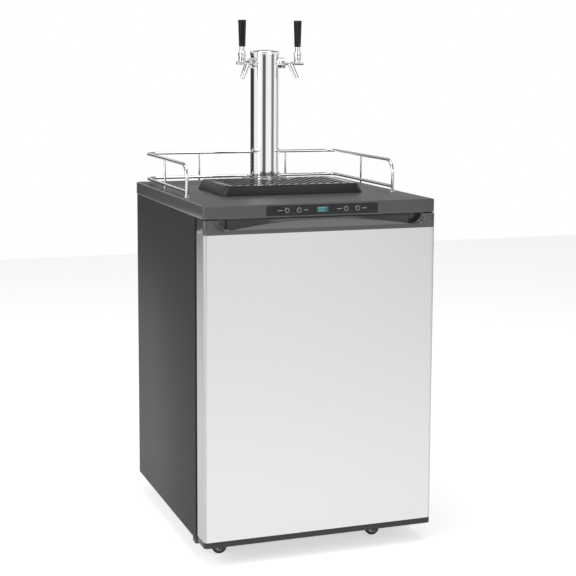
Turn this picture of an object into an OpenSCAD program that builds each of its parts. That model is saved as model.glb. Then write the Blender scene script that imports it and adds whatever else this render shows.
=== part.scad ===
// Two-tap kegerator: a wheeled refrigerated cabinet with a draft tower, drip tray and guard rail.
// Millimetres. +Z is up, the door faces -Y, and the origin is on the floor under the middle.

/* [Cabinet] */
// Width of the worktop
top_w = 600; // [560:1:640]
// Depth of the worktop
top_d = 680; // [660:1:720]
// Height of the worktop's upper face above the floor
top_z = 880; // [860:1:920]
// Thickness of the worktop
top_t = 33.5; // [32:0.5:36]
// Corner radius of the worktop and the door in plan
corner_r = 11; // [8:1:14]
// How far the worktop overhangs the cabinet on each side
side_overhang = 1.5; // [1.5:0.5:2]
// Gap from the floor to the cabinet's underside
floor_gap = 48; // [48:1:50]
// Thickness of the insulating foam
foam_t = 40; // [38:1:44]
// Height of the compressor bay above the base pan
bay_h = 206; // [200:1:220]
// Depth of the compressor bay
bay_d = 128; // [126:1:132]

/* [Door] */
// Thickness of the door without its gasket
door_t = 60; // [58:1:62]
// How far the door stands in front of the worktop
door_proud = 3; // [1:0.5:4]
// Height of the handle trim above the steel panel
handle_trim_h = 35; // [34:1:38]
// Height of the trim below the steel panel
foot_trim_h = 15; // [14:1:18]
// Half the length of the finger pocket
pocket_half = 246; // [200:1:250]

/* [Tower] */
// Outer diameter of the tower column
column_d = 78; // [76:1:80]
// Height of the tower above the worktop
tower_h = 368; // [360:1:380]
// Distance of the tower's axis behind the worktop's front edge
tower_back = 441; // [436:1:446]
// Height of the taps' axis above the worktop
tap_h = 332; // [326:1:336]
// Angle of each tap from straight ahead
tap_angle = 62; // [56:1:66]
// Distance of the tap lever from the tower's axis
lever_reach = 88; // [86:1:90]
// Length of the black tap handle
handle_l = 69.5; // [60:0.5:75]

/* [Guard rail] */
// Half the width of the rail, to the tube's middle
rail_half = 276; // [270:1:280]
// Height of the upper rail above the worktop
rail_h = 81; // [75:1:85]
// Diameter of the rail's tube
rail_d = 8.5; // [8:0.5:9]

/* [Drip tray] */
// Width of the tray at its foot
tray_w = 382; // [370:1:390]
// Width of the tray at its top
tray_top_w = 358; // [350:1:364]
// Height of the tray
tray_h = 25; // [24:1:26]

/* [Casters] */
// Diameter of a wheel
wheel_d = 38; // [36:1:38]
// Width of a wheel's tread
wheel_w = 15; // [14:1:16]
// Distance of the wheel's axle behind the swivel axis
trail = 28; // [26:1:30]
// Half the distance between the left and right swivel axes
caster_half = 206; // [200:1:212]

/* [Hidden] */
$fn = 64;
e = 0.5;                                  // overlap that makes a cut clean
fit_gap = 0.05;                           // air between two fixed pieces that pass through each other
wall = 1.2;                               // sheet steel
skin = 2;                                 // vacuum-formed plastic
front = (door_proud - top_d) / 2;         // the worktop's front face
back = front + top_d;                     // the worktop's back face
top_under = top_z - top_t;                // underside of the worktop
half_w = top_w / 2;
cab_half = half_w - side_overhang;        // half the cabinet's width
cab_front = front + 78;                   // the cabinet's front plane
cab_back = back - 8;                      // the cabinet's back plane
bay_front = cab_back - bay_d;             // wall between the compressor bay and the foam
bay_top = floor_gap + 2 + bay_h;          // ceiling of the compressor bay

// the chilled space
room_half = cab_half - wall - foam_t - skin;
room_floor = floor_gap + 2 + foam_t + skin;
room_top = top_under - wall - foam_t - skin;
room_back = cab_back - wall - foam_t - skin;
hump_front = bay_front - foam_t - skin;
hump_top = bay_top + foam_t + skin;

// the door
door_front = front - door_proud;
door_back = door_front + door_t;
door_half = half_w - 0.5;
door_top = top_under - 1.2;
panel_top = door_top - handle_trim_h;
door_foot = floor_gap + 1;
panel_foot = door_foot + foot_trim_h;
liner_front = door_back - skin;           // face of the door's inner liner that meets the foam
gasket_half = half_w - 13;
hinge_x = gasket_half;
hinge_y = front + 32;
pin_r = 4;
bush_r = pin_r + 0.05;

// the control panel
panel_half = 144;
panel_low = top_z - 29;
panel_high = top_z - 3.5;
panel_mid = (panel_low + panel_high) / 2;
panel_t = 1.6;
button_r = 6.4;
button_xs = [-91, -60.5, 60.5, 91];
display_w = 30;
display_h = 13;

// the tower
tower_y = front + tower_back;
column_r = column_d / 2;
column_in = column_r - 1.5;
base_r = 62;
base_h = 26;
collar_h = 4;                             // the base's collar round the column
base_screw_r = 50;
duct_r = 22;                              // way for the beer lines
tap_z = top_z + tap_h;
shank_r = 11;
nut_end = 55;                             // where the coupling nut ends, from the tower's axis
body_r = 5.2;
pivot_up = 14;                            // the lever's pin above the tap's axis
dome_r = 9.4;
skirt_r = 10;
tap_pin_r = 1.5;
tongue = 1.2;                             // half the thickness of the lever's tongue
shaft_r = 3;
bore_r = shaft_r + 0.05;
handle_foot = 42.5;                       // the handle's foot above the tap's axis

// the rail
rail_r = rail_d / 2;
rail_front = front + 218;
rail_back = front + 638;
rail_low = 13;                            // height of the lower rail
rail_bend = 36;                           // bend at the front
rail_corner = 28;                         // bend at the back corners
post_r = 2.75;
post_x = 128;
post_y = front + 435;

// the tray
tray_front = front + 205;
tray_back = front + 431;
tray_lean = 3;                            // how far its front and back lean in
tray_wall = 2.5;
notch_r = base_r + 2;
grille_t = 2.4;

// the casters
wheel_r = wheel_d / 2;
axle_r = 3;
stem_r = 5;
caster_ys = [front + 95, cab_back - 40];
foot_stem_h = 12;                         // how far a stem reaches above the base pan

// ---- shared shapes -------------------------------------------------------------------------

// A block from its lowest to its highest corner
module block(low, high) {
    translate(low) cube(high - low);
}

// A cylinder along X, Y or Z that starts at a point
module rod_x(start, r, l) {
    translate(start) rotate([0, 90, 0]) cylinder(r = r, h = l);
}
module rod_y(start, r, l) {
    translate(start) rotate([-90, 0, 0]) cylinder(r = r, h = l);
}
module rod_z(start, r, l) {
    translate(start) cylinder(r = r, h = l);
}

// A rectangle with round corners, as an outline of true arcs
module round_rect(x0, y0, x1, y1, r) {
    translate([x0 + r, y0]) square([x1 - x0 - 2 * r, y1 - y0]);
    translate([x0, y0 + r]) square([x1 - x0, y1 - y0 - 2 * r]);
    for (x = [x0 + r, x1 - r], y = [y0 + r, y1 - r]) translate([x, y]) circle(r = r);
}

// A plan outline with round corners at the front only
module front_round(half, y0, y1, r) {
    round_rect(-half, y0, half, y0 + 3 * r, r);
    translate([-half, y0 + r]) square([2 * half, y1 - y0 - r]);
}

// Something modelled on the right, and its mirror image on the left
module both_sides() {
    children();
    mirror([1, 0, 0]) children();
}

// Places a tap: its local X runs outwards from the tower's axis, at the height of the taps
module at_tap(side) {
    translate([0, tower_y, tap_z]) rotate([0, 0, 270 + side * tap_angle]) children();
}

// ---- cabinet -------------------------------------------------------------------------------

// Side view of the chilled space, grown by g on every wall
function room_profile(g) = [
    [cab_front - e, room_floor - g], [hump_front + g, room_floor - g], [hump_front + g, hump_top - g],
    [room_back + g, hump_top - g], [room_back + g, room_top + g], [cab_front - e, room_top + g]
];

module room(g) {
    translate([-room_half - g, 0, 0]) rotate([90, 0, 90])
        linear_extrude(2 * (room_half + g)) polygon(room_profile(g));
}

// The way for the beer lines from the chilled space into the tower
module line_duct() {
    rod_z([0, tower_y, room_top - 10], duct_r, top_z - room_top + 20);
}

grommet_x = -225;
grommet_z = 420;
grommet_r = 12;
flange_w = 30;                            // the shell's front flange
flange_z = floor_gap + 28;                // top of the base pan's front flange

module cabinet_shell() {
    color("#4f4f4f") difference() {
        union() {
            both_sides() {
                block([cab_half - wall, cab_front, floor_gap], [cab_half, cab_back, top_under]);
                block([cab_half - flange_w, cab_front, floor_gap], [cab_half, cab_front + wall, top_under]);
            }
            block([-cab_half, cab_front, top_under - wall], [cab_half, cab_back, top_under]);
            block([-cab_half, cab_front, top_under - flange_w], [cab_half, cab_front + wall, top_under]);
        }
        line_duct();
    }
}

module cabinet_back() {
    inner = cab_half - wall;
    color("#6b6b6b") difference() {
        union() {
            block([-inner, cab_back - wall, bay_top - wall], [inner, cab_back, top_under - wall]);
            block([-inner, bay_front, bay_top - wall], [inner, cab_back, bay_top]);
            block([-inner, bay_front, floor_gap + 2], [inner, bay_front + wall, bay_top]);
        }
        rod_y([grommet_x, cab_back - 5, grommet_z], grommet_r, 10);
    }
}

module base_pan() {
    inner = cab_half - wall;
    flange_half = cab_half - flange_w - 0.2;
    color("#444444") difference() {
        union() {
            block([-inner, cab_front + wall, floor_gap], [inner, cab_back, floor_gap + 2]);
            block([-flange_half, cab_front, floor_gap], [flange_half, cab_front + 2, flange_z]);
            block([-cab_half, cab_front, floor_gap - 12], [-cab_half + 15, cab_front + 28, floor_gap]);
        }
        for (x = [-caster_half, caster_half], y = caster_ys)
            rod_z([x, y, floor_gap - e], stem_r + 0.05, 3);
    }
}

module cabinet_liner() {
    rim_half = cab_half - flange_w - 0.2;
    color("#f2f2f0") difference() {
        union() {
            intersection() {
                room(skin);
                block([-400, cab_front, 0], [400, 400, 1000]);
            }
            block([-rim_half, cab_front, flange_z + 0.2],
                  [rim_half, cab_front + skin, top_under - flange_w - 0.2]);
        }
        room(0);
        line_duct();
        rod_y([grommet_x, room_back - 5, grommet_z], grommet_r, 20);
    }
}

module cabinet_foam() {
    inner = cab_half - wall;
    color("#efe3b0") difference() {
        block([-inner, cab_front + skin, floor_gap + 2], [inner, cab_back - wall, top_under - wall]);
        room(skin);
        block([-inner - e, bay_front, 0], [inner + e, cab_back, bay_top]);
        line_duct();
        rod_y([grommet_x, room_back - 5, grommet_z], grommet_r, foam_t + 20);
        for (x = [-caster_half, caster_half])
            rod_z([x, caster_ys[0], floor_gap], stem_r + 2, foot_stem_h + 3);
    }
}

// Ribs under the worktop, on a grid
rib_pitch = 108;
rib_t = 2.5;

module worktop_hollow() {
    beam = cab_front - 8;                 // back of the closed beam over the door
    difference() {
        union() {
            block([-half_w + 3.5, beam, top_under - e], [half_w - 3.5, back - 3.5, top_z - 4]);
            block([-half_w + 14, front + 5, top_under + 2.5], [half_w - 14, beam + e, top_z - 4]);
        }
        for (i = [-2 : 2])
            block([i * rib_pitch - rib_t / 2, beam, 0], [i * rib_pitch + rib_t / 2, back, top_z]);
        for (i = [0 : 5])
            block([-half_w, beam + i * rib_pitch, 0], [half_w, beam + i * rib_pitch + rib_t, top_z]);
        rod_z([0, tower_y, 0], base_r + 6, top_z);
    }
}

module worktop() {
    color("#636363") difference() {
        translate([0, 0, top_under]) linear_extrude(top_t)
            round_rect(-half_w, front, half_w, back, corner_r);
        worktop_hollow();
        line_duct();
        // seat of the control panel, with the holes behind it
        block([-panel_half, front - e, panel_low], [panel_half, front + panel_t, panel_high]);
        block([-display_w / 2, front, panel_mid - display_h / 2],
              [display_w / 2, front + 6, panel_mid + display_h / 2]);
        for (x = button_xs) rod_y([x, front, panel_mid], button_r + 1.8, 6);
        // room for the upper hinge
        block([hinge_x - 20, hinge_y - 12, top_under - e], [half_w - 3.5, cab_front, top_under + 3.5]);
        for (a = [45 : 90 : 315])
            translate([0, tower_y, 0]) rotate([0, 0, a]) rod_z([base_screw_r, 0, top_z - 20], 2.4, 21);
    }
}

module control_panel() {
    color("#2b2b2d") difference() {
        translate([0, front + panel_t, 0]) rotate([90, 0, 0]) linear_extrude(panel_t)
            round_rect(-panel_half + 0.2, panel_low + 0.2, panel_half - 0.2, panel_high - 0.2, 1.5);
        block([-display_w / 2, front - e, panel_mid - display_h / 2],
              [display_w / 2, front + 2, panel_mid + display_h / 2]);
        for (x = button_xs) rod_y([x, front - e, panel_mid], button_r + 0.2, 3);
    }
}

module display_window() {
    color("#5fb6bd") block([-display_w / 2 + 0.2, front + 0.1, panel_mid - display_h / 2 + 0.2],
                           [display_w / 2 - 0.2, front + 3, panel_mid + display_h / 2 - 0.2]);
}

module control_board() {
    board_y = front + 12;
    color("#2f6b46") {
        block([-118, board_y, panel_mid - 10.5], [118, board_y + 1.6, panel_mid + 10.5]);
        block([-14, front + 6.5, panel_mid - 6], [14, board_y, panel_mid + 6]);
        for (x = button_xs) block([x - 3, front + 6.5, panel_mid - 3], [x + 3, board_y, panel_mid + 3]);
        for (x = [-112, 112]) rod_y([x, front + 5, panel_mid], 3, 7);
        block([-50, board_y + 1.6, panel_mid - 8], [-30, board_y + 14, panel_mid + 8]);
    }
}

module button(x) {
    color("#3a3a3c") {
        rod_y([x, front - 0.6, panel_mid], button_r, 6);
        rod_y([x, front + panel_t + 0.9, panel_mid], button_r + 1.2, 2.2);
    }
}

module button_power() { button(button_xs[0]); }
module button_light() { button(button_xs[1]); }
module button_colder() { button(button_xs[2]); }
module button_warmer() { button(button_xs[3]); }

// ---- cooling -------------------------------------------------------------------------------

module evaporator_plate() {
    plate_y = room_back - 6;
    low = hump_top + 30;
    channel_r = 3.5;
    run = 150;
    rows = 7;
    step = 34;
    color("#c9ccd0") {
        block([-190, plate_y, low], [190, plate_y + 1.5, low + 270]);
        for (x = [-170, 170], z = [low + 20, low + 250]) rod_y([x, plate_y + 1, z], 5, 5);
        for (i = [0 : rows - 1]) rod_x([-run, plate_y, low + 33 + i * step], channel_r, 2 * run);
        for (i = [0 : rows - 2])
            translate([i % 2 == 0 ? run : -run, plate_y, low + 33 + (i + 0.5) * step])
                rotate([90, i % 2 == 0 ? 90 : -90, 0]) rotate_extrude(angle = 180)
                    translate([step / 2, 0]) circle(r = channel_r);
    }
}

module keg_floor_plate() {
    color("#b9bcc0") {
        block([-225, cab_front + 25, room_floor], [225, hump_front - 6, room_floor + 1.5]);
        both_sides() block([223, cab_front + 25, room_floor], [225, hump_front - 6, room_floor + 8]);
    }
}

fan_y = room_back - 27;
fan_z = 690;
fan_r = 50;

module fan_housing() {
    color("#e4e4e2") rod_y([0, fan_y + 5, fan_z], 2, 14);
    color("#e4e4e2") difference() {
        block([-60, fan_y, fan_z - 60], [60, room_back, fan_z + 60]);
        difference() {
            rod_y([0, fan_y - e, fan_z], fan_r + 3, 30);
            rod_y([0, fan_y + 18, fan_z], 17, 10);
            for (a = [0 : 120 : 240]) translate([0, fan_y, fan_z]) rotate([0, a, 0])
                block([0, 20, -3], [fan_r + 4, 24, 3]);
        }
    }
}

module fan_rotor() {
    blades = 7;
    color("#3c3c3e") translate([0, fan_y, fan_z]) {
        difference() {
            rod_y([0, 3, 0], 18, 14.5);
            rod_y([0, 10, 0], 15, 8);
            rod_y([0, 4, 0], 2.05, 8);
        }
        for (i = [0 : blades - 1]) rotate([0, i * 360 / blades, 0])
            translate([16, 9.5, 0]) rotate([32, 0, 0]) block([0, -1, -11], [fan_r - 17, 1, 11]);
    }
}

compressor_x = 110;
compressor_y = bay_front + wall + 62;
compressor_r = 57;

module compressor() {
    foot = floor_gap + 2;
    color("#1c1c1e") translate([compressor_x, compressor_y, foot]) {
        rotate_extrude() polygon([
            [0, 12], [44, 12], [52, 18], [compressor_r, 30], [compressor_r, 72], [compressor_r - 3, 76],
            [compressor_r - 3, 104], [46, 124], [30, 136], [12, 141], [0, 142]
        ]);
        block([-62, -40, 8], [62, 40, 12.5]);
        for (x = [-54, 54], y = [-32, 32]) rod_z([x, y, 0], 8, 8.5);
        block([-88, -18, 40], [-50, 22, 84]);
        rod_z([20, 30, 118], 4, 34);
        rod_z([-10, 32, 118], 4, 42);
    }
}

module condenser_coil() {
    coil_y = cab_back - 32;
    left = -262;
    right = 5;
    step = 26;
    rows = 6;
    low = floor_gap + 40;
    r = 3.2;
    color("#2a2a2c") {
        for (i = [0 : rows - 1]) rod_x([left, coil_y, low + i * step], r, right - left);
        for (i = [0 : rows - 2])
            translate([i % 2 == 0 ? right : left, coil_y, low + (i + 0.5) * step])
                rotate([90, i % 2 == 0 ? 90 : -90, 0]) rotate_extrude(angle = 180)
                    translate([step / 2, 0]) circle(r = r);
        for (x = [left + 20 : 60 : right - 10])
            rod_z([x, coil_y - r - 1, floor_gap + 2], 1.6, low + 5.4 * step - floor_gap);
    }
}

module evaporation_pan() {
    low = floor_gap + 2 + 166;
    color("#3a3a3a") difference() {
        union() {
            block([compressor_x - 75, bay_front + 8, low - 4], [compressor_x + 75, cab_back - 12, low + 22]);
            rod_z([compressor_x, compressor_y, floor_gap + 2 + 142], 20, 25);
        }
        block([compressor_x - 73, bay_front + 10, low - 2], [compressor_x + 73, cab_back - 14, low + 23]);
    }
}

inlet_x = -235;
inlet_z = floor_gap + 45;

module machine_cover() {
    inner = cab_half - wall - 0.3;
    slots = 12;
    color("#3d3d3d") difference() {
        block([-inner, cab_back - wall, floor_gap + 2.3], [inner, cab_back, bay_top - wall - 0.3]);
        for (row = [0 : 2], i = [0 : slots - 1])
            block([-180 + i * 32, cab_back - 3, floor_gap + 30 + row * 52],
                  [-166 + i * 32, cab_back + 1, floor_gap + 68 + row * 52]);
        block([inlet_x - 24, cab_back - 5, inlet_z - 14], [inlet_x + 24, cab_back + 5, inlet_z + 14]);
    }
}

module power_inlet() {
    color("#161616") difference() {
        union() {
            block([inlet_x - 23.8, cab_back - 24, inlet_z - 13.8],
                  [inlet_x + 23.8, cab_back + 0.2, inlet_z + 13.8]);
            block([inlet_x - 28, cab_back + 0.1, inlet_z - 18], [inlet_x + 28, cab_back + 3, inlet_z + 18]);
        }
        block([inlet_x - 12, cab_back - 16, inlet_z - 8], [inlet_x + 12, cab_back + 4, inlet_z + 8]);
    }
}

gas_bore_r = 5;

module gas_grommet() {
    color("#222222") difference() {
        union() {
            rod_y([grommet_x, room_back - 2, grommet_z], grommet_r - 0.05, cab_back - room_back + 3);
            rod_y([grommet_x, cab_back, grommet_z], 18, 3);
        }
        rod_y([grommet_x, room_back - 4, grommet_z], gas_bore_r, cab_back - room_back + 10);
    }
}

// ---- door ----------------------------------------------------------------------------------

module door_skin() {
    sheet = 0.9;
    color("#dadada") translate([0, 0, panel_foot]) linear_extrude(panel_top - panel_foot)
        difference() {
            front_round(door_half, door_front, door_back, corner_r);
            difference() {
                front_round(door_half - sheet, door_front + sheet, door_back + 1, corner_r - sheet);
                for (side = [-1, 1]) translate([side * (door_half - 5), door_back - skin - sheet / 2])
                    square([10, sheet], center = true);
            }
        }
}

module door_foam() {
    color("#efe3b0") translate([0, 0, panel_foot]) linear_extrude(panel_top - panel_foot)
        front_round(door_half - 1, door_front + 1, liner_front - 1, corner_r - 1);
}

// The pocket's mouth in the front view: a low arch whose ends sweep up to the trim's top
lip_mid = door_top - 4;                   // top of the lip in the middle of the door
lip_end = door_top - 24;                  // its lowest place, near the pocket's ends
lip_at = 228;                             // where the arch ends
lip_rise = lip_mid - lip_end;
lip_arc_r = (lip_at * lip_at + lip_rise * lip_rise) / (2 * lip_rise);
lip_steps = 12;
lip_pocket_floor = door_top - 28;
lip_t = 7;

function lip_z(x) = lip_mid - lip_arc_r + sqrt(lip_arc_r * lip_arc_r - x * x);
function lip_line() = [for (i = [-lip_steps : lip_steps]) let (x = i * lip_at / lip_steps) [x, lip_z(x)]];
function lip_scoop(side) = [for (i = [0 : 6]) let (a = i * 15)
    [side * (lip_at + 36 * sin(a)), lip_end + 25 * (1 - cos(a))]];

module pocket_mouth() {
    left = [for (i = [6 : -1 : 1]) lip_scoop(-1)[i]];
    right = [for (i = [1 : 6]) lip_scoop(1)[i]];
    polygon(concat(left, lip_line(), right));
}

module door_top_trim() {
    color("#5c5c5e") difference() {
        translate([0, 0, panel_top + 0.2]) linear_extrude(handle_trim_h - 0.2)
            front_round(door_half, door_front, liner_front, corner_r);
        translate([0, door_front + lip_t + e, 0]) rotate([90, 0, 0])
            linear_extrude(lip_t + 2 * e) pocket_mouth();
        block([-pocket_half, door_front + lip_t, lip_pocket_floor],
              [pocket_half, door_front + 23, door_top + e]);
        for (side = [-1, 1])
            block([side * 253 - 9, door_front + lip_t, lip_pocket_floor],
                  [side * 253 + 9, door_front + 31, door_top + e]);
        block([-pocket_half, door_front + 35, panel_top + 3], [pocket_half, liner_front + e, door_top - 3]);
        rod_z([hinge_x, hinge_y, door_top - 19], bush_r, 20);
    }
}

module door_bottom_trim() {
    color("#454547") difference() {
        translate([0, 0, door_foot]) linear_extrude(foot_trim_h - 0.2)
            front_round(door_half, door_front, liner_front, corner_r);
        block([-pocket_half, door_front + 4, door_foot + 3], [pocket_half, liner_front - 4, panel_foot + e]);
        rod_z([hinge_x, hinge_y, door_foot - e], bush_r, foot_trim_h);
    }
}

dyke_half = 240;
dyke_low = room_floor + 14;
dyke_high = room_top - 14;
dyke_w = 34;
dyke_d = 36;                              // how far the raised frame stands off the liner

module door_liner() {
    color("#f2f2f0") difference() {
        union() {
            block([-door_half + 1, liner_front, door_foot + 1], [door_half - 1, door_back, door_top - 1]);
            block([-dyke_half, liner_front, dyke_low], [dyke_half, door_back + dyke_d, dyke_high]);
        }
        block([-dyke_half + dyke_w, door_back, dyke_low + dyke_w],
              [dyke_half - dyke_w, door_back + dyke_d + e, dyke_high - dyke_w]);
        difference() {
            block([-dyke_half + skin, liner_front - e, dyke_low + skin],
                  [dyke_half - skin, door_back + dyke_d - skin, dyke_high - skin]);
            block([-dyke_half + dyke_w - skin, liner_front - 1, dyke_low + dyke_w - skin],
                  [dyke_half - dyke_w + skin, door_back + dyke_d, dyke_high - dyke_w + skin]);
        }
    }
}

gasket_w = 14;
gasket_low = floor_gap + 12;
gasket_high = top_under - 10;

module door_gasket() {
    color("#141414") difference() {
        block([-gasket_half, door_back, gasket_low], [gasket_half, cab_front - 0.3, gasket_high]);
        block([-gasket_half + gasket_w, door_back - e, gasket_low + gasket_w],
              [gasket_half - gasket_w, cab_front, gasket_high - gasket_w]);
    }
}

module upper_hinge() {
    color("#8d8f92") {
        block([hinge_x - 16, hinge_y - 9, top_under], [hinge_x + 9, cab_front + 40, top_under + 2.5]);
        rod_z([hinge_x, hinge_y, top_under - 18], pin_r, 20);
        for (y = [cab_front + 12, cab_front + 30]) rod_z([hinge_x - 4, y, top_under + 2.4], 4.5, 3);
    }
}

module lower_hinge() {
    color("#3c3c3e") {
        block([hinge_x - 24, hinge_y - 9, floor_gap - 3], [hinge_x + 10, cab_front + 45, floor_gap]);
        rod_z([hinge_x, hinge_y, floor_gap - 1], pin_r, 13);
        for (x = [hinge_x - 17, hinge_x + 3]) rod_z([x, cab_front + 24, floor_gap - 5.5], 4.5, 3);
    }
}

// ---- guard rail ----------------------------------------------------------------------------

// One side of a U-shaped rail and half of its back, at height z and starting at y
module rail_side(z, start) {
    rod_y([rail_half, start, z], rail_r, rail_back - rail_corner - start);
    translate([rail_half - rail_corner, rail_back - rail_corner, z])
        rotate_extrude(angle = 90) translate([rail_corner, 0]) circle(r = rail_r);
    rod_x([-1, rail_back, z], rail_r, rail_half - rail_corner + 1);
}

module rail_upper() {
    z = top_z + rail_h;
    color("#e6e6e8") both_sides() {
        rail_side(z, rail_front + rail_bend);
        translate([rail_half, rail_front + rail_bend, z - rail_bend]) rotate([0, -90, 180])
            rotate_extrude(angle = 90) translate([rail_bend, 0]) circle(r = rail_r);
        rod_z([rail_half, rail_front, top_z], rail_r, rail_h - rail_bend);
        translate([rail_half, rail_front, top_z]) cylinder(r1 = rail_r + 3, r2 = rail_r, h = 5);
    }
}

module rail_lower() {
    color("#e6e6e8") difference() {
        both_sides() rail_side(top_z + rail_low, rail_front);
        both_sides() rod_z([rail_half, rail_front, top_z], rail_r + fit_gap, 40);
        posts(post_r + fit_gap);
    }
}

module posts(r) {
    both_sides() {
        rod_z([post_x, rail_back, top_z], r, rail_h);
        rod_z([rail_half, post_y, top_z], r, rail_h);
    }
}

module rail_posts() {
    color("#e6e6e8") difference() {
        posts(post_r);
        both_sides() rail_side(top_z + rail_h, rail_front + rail_bend);
    }
}

// ---- tower ---------------------------------------------------------------------------------

module tower_column() {
    color("#e0e0e2") difference() {
        rod_z([0, tower_y, top_z], column_r, tower_h - 14);
        rod_z([0, tower_y, top_z - e], column_in, tower_h);
        for (side = [-1, 1]) at_tap(side) rod_x([20, 0, 0], shank_r + 0.05, 30);
    }
}

module tower_cap() {
    cap_r = column_r + 0.8;
    dome = 155;
    color("#e0e0e2") translate([0, tower_y, top_z + tower_h]) difference() {
        intersection() {
            rod_z([0, 0, -16], cap_r, 18);
            translate([0, 0, -dome]) sphere(r = dome);
        }
        rotate_extrude() translate([column_in - 0.05, -17]) square([1.6, 3]);
        rod_z([0, 0, -17], column_in - 3, 10);
    }
}

module tower_base() {
    seat_r = column_r + 0.05;
    hollow_w = base_r - column_r - 6;
    color("#e0e0e2") translate([0, tower_y, top_z]) difference() {
        rotate_extrude() polygon(concat(
            [[seat_r, 0], [base_r, 0], [base_r, base_h - 3]],
            [for (a = [15 : 15 : 90]) [base_r - 3 + 3 * cos(a), base_h - 3 + 3 * sin(a)]],
            [[column_r + 4, base_h], [column_r + 3, base_h + 1], [column_r + 3, base_h + collar_h - 1],
             [column_r + 2, base_h + collar_h], [seat_r, base_h + collar_h]]
        ));
        difference() {
            translate([0, 0, -e]) rotate_extrude()
                translate([column_r + 3, 0]) square([hollow_w, base_h - 3.5]);
            for (a = [45 : 90 : 315]) rotate([0, 0, a]) rod_z([base_screw_r, 0, -1], 7, base_h);
        }
        for (a = [45 : 90 : 315]) rotate([0, 0, a]) rod_z([base_screw_r, 0, -1], 2.6, base_h + 2);
    }
}

module tower_screws() {
    color("#bfc1c4") for (a = [45 : 90 : 315])
        translate([0, tower_y, top_z]) rotate([0, 0, a]) difference() {
            union() {
                rod_z([base_screw_r, 0, -18], 2.3, base_h + 18.5);
                rod_z([base_screw_r, 0, base_h], 4.6, 2.6);
            }
            translate([base_screw_r, 0, base_h + 1.2]) cylinder(r = 2.2, h = 2, $fn = 6);
        }
}

module tower_insulation() {
    color("#2b2b2b") difference() {
        rod_z([0, tower_y, top_z + 2], column_in - 0.2, tap_h - 24);
        rod_z([0, tower_y, top_z], duct_r, tap_h);
    }
}

module faucet_shanks() {
    color("#d4d4d6") for (side = [-1, 1]) at_tap(side) difference() {
        union() {
            rod_x([18, 0, 0], shank_r, 30);
            rod_x([8, 0, 0], 5, 11);
            difference() {
                rod_x([30, 0, 0], 14.5, 12);
                translate([0, 0, -40]) cylinder(r = column_r + 0.05, h = 80);
            }
        }
        rod_x([7, 0, 0], bore_r, 50);
    }
}

module shank_locknuts() {
    color("#c2a25a") for (side = [-1, 1]) at_tap(side) difference() {
        translate([24, 0, 0]) rotate([0, 90, 0]) cylinder(r = 15.5, h = 8, $fn = 6);
        rod_x([23, 0, 0], shank_r + 0.02, 10);
    }
}

module coupling_nuts() {
    color("#dcdcde") for (side = [-1, 1]) at_tap(side) difference() {
        rod_x([42.2, 0, 0], 14, nut_end - 42.2);
        rod_x([41, 0, 0], shank_r + 0.02, 16);
        for (a = [0 : 60 : 300]) rotate([a, 0, 0]) rod_x([45, 0, 15.2], 2.2, 6.5);
    }
}

spout_lean = 26;
spout_root = 68;                          // where the spout leaves the body, from the tower's axis
spout_l = 43;
outlet_l = 36;                            // the wide part of the spout's bore

module faucet(side) {
    pin_z = pivot_up;
    color("#e2e2e4") at_tap(side) {
        difference() {
            union() {
                rod_x([48.2, 0, 0], shank_r, nut_end - 48.2 + 0.6);
                rod_x([nut_end, 0, 0], body_r, 45);
                rod_x([99, 0, 0], 5, 2);
                rod_x([100.5, 0, 0], 6, 3.5);
                rod_z([lever_reach, 0, 1], dome_r, pin_z - 1);
                translate([lever_reach, 0, pin_z]) sphere(r = dome_r);
                translate([spout_root, 0, -2]) rotate([0, 180 - spout_lean, 0])
                    cylinder(r1 = 8, r2 = 6.2, h = spout_l);
            }
            rod_x([47, 0, 0], bore_r, 48);
            translate([spout_root, 0, -2]) rotate([0, 180 - spout_lean, 0]) {
                cylinder(r = 2.4, h = spout_l);
                translate([0, 0, spout_l - outlet_l]) cylinder(r = 4, h = outlet_l + e);
            }
            block([lever_reach - 10, -tongue - 0.4, -3.2], [lever_reach + 3.5, tongue + 0.4, pin_z]);
            block([lever_reach - 3.5, -tongue - 0.4, pin_z - 0.1],
                  [lever_reach + 11, tongue + 0.4, pin_z + 12]);
        }
        rod_y([lever_reach, -dome_r + 1.5, pin_z], tap_pin_r, 2 * dome_r - 3);
    }
}

module faucet_left() { faucet(-1); }
module faucet_right() { faucet(1); }

module valve_shaft(side) {
    color("#b98f45") at_tap(side) difference() {
        rod_x([66, 0, 0], shaft_r, 28);
        block([lever_reach - 4, -tongue - 0.35, -4], [lever_reach + 4, tongue + 0.35, 4]);
    }
}

module valve_shaft_left() { valve_shaft(-1); }
module valve_shaft_right() { valve_shaft(1); }

module tap_lever(side) {
    skirt_low = 2.6;
    skirt_high = 15;
    color("#e2e2e4") at_tap(side) translate([lever_reach, 0, pivot_up]) difference() {
        union() {
            difference() {
                rod_z([0, 0, skirt_low], skirt_r, skirt_high - skirt_low);
                sphere(r = skirt_r + 0.2);
            }
            block([-2.2, -tongue, -3.5], [2.2, tongue, 12]);
            rotate([90, 0, 0]) translate([0, 0, -tongue]) cylinder(r = 3.4, h = 2 * tongue);
            block([-1.3, -tongue, -pivot_up - 1.6], [1.3, tongue, -2]);
            translate([0, 0, skirt_high - 1])
                cylinder(r1 = 6.8, r2 = 6.2, h = handle_foot - pivot_up - skirt_high + 1);
            rod_z([0, 0, skirt_high], 3.45, 32);
        }
        rod_y([0, -4, 0], tap_pin_r + 0.04, 8);
    }
}

module tap_lever_left() { tap_lever(-1); }
module tap_lever_right() { tap_lever(1); }

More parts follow.
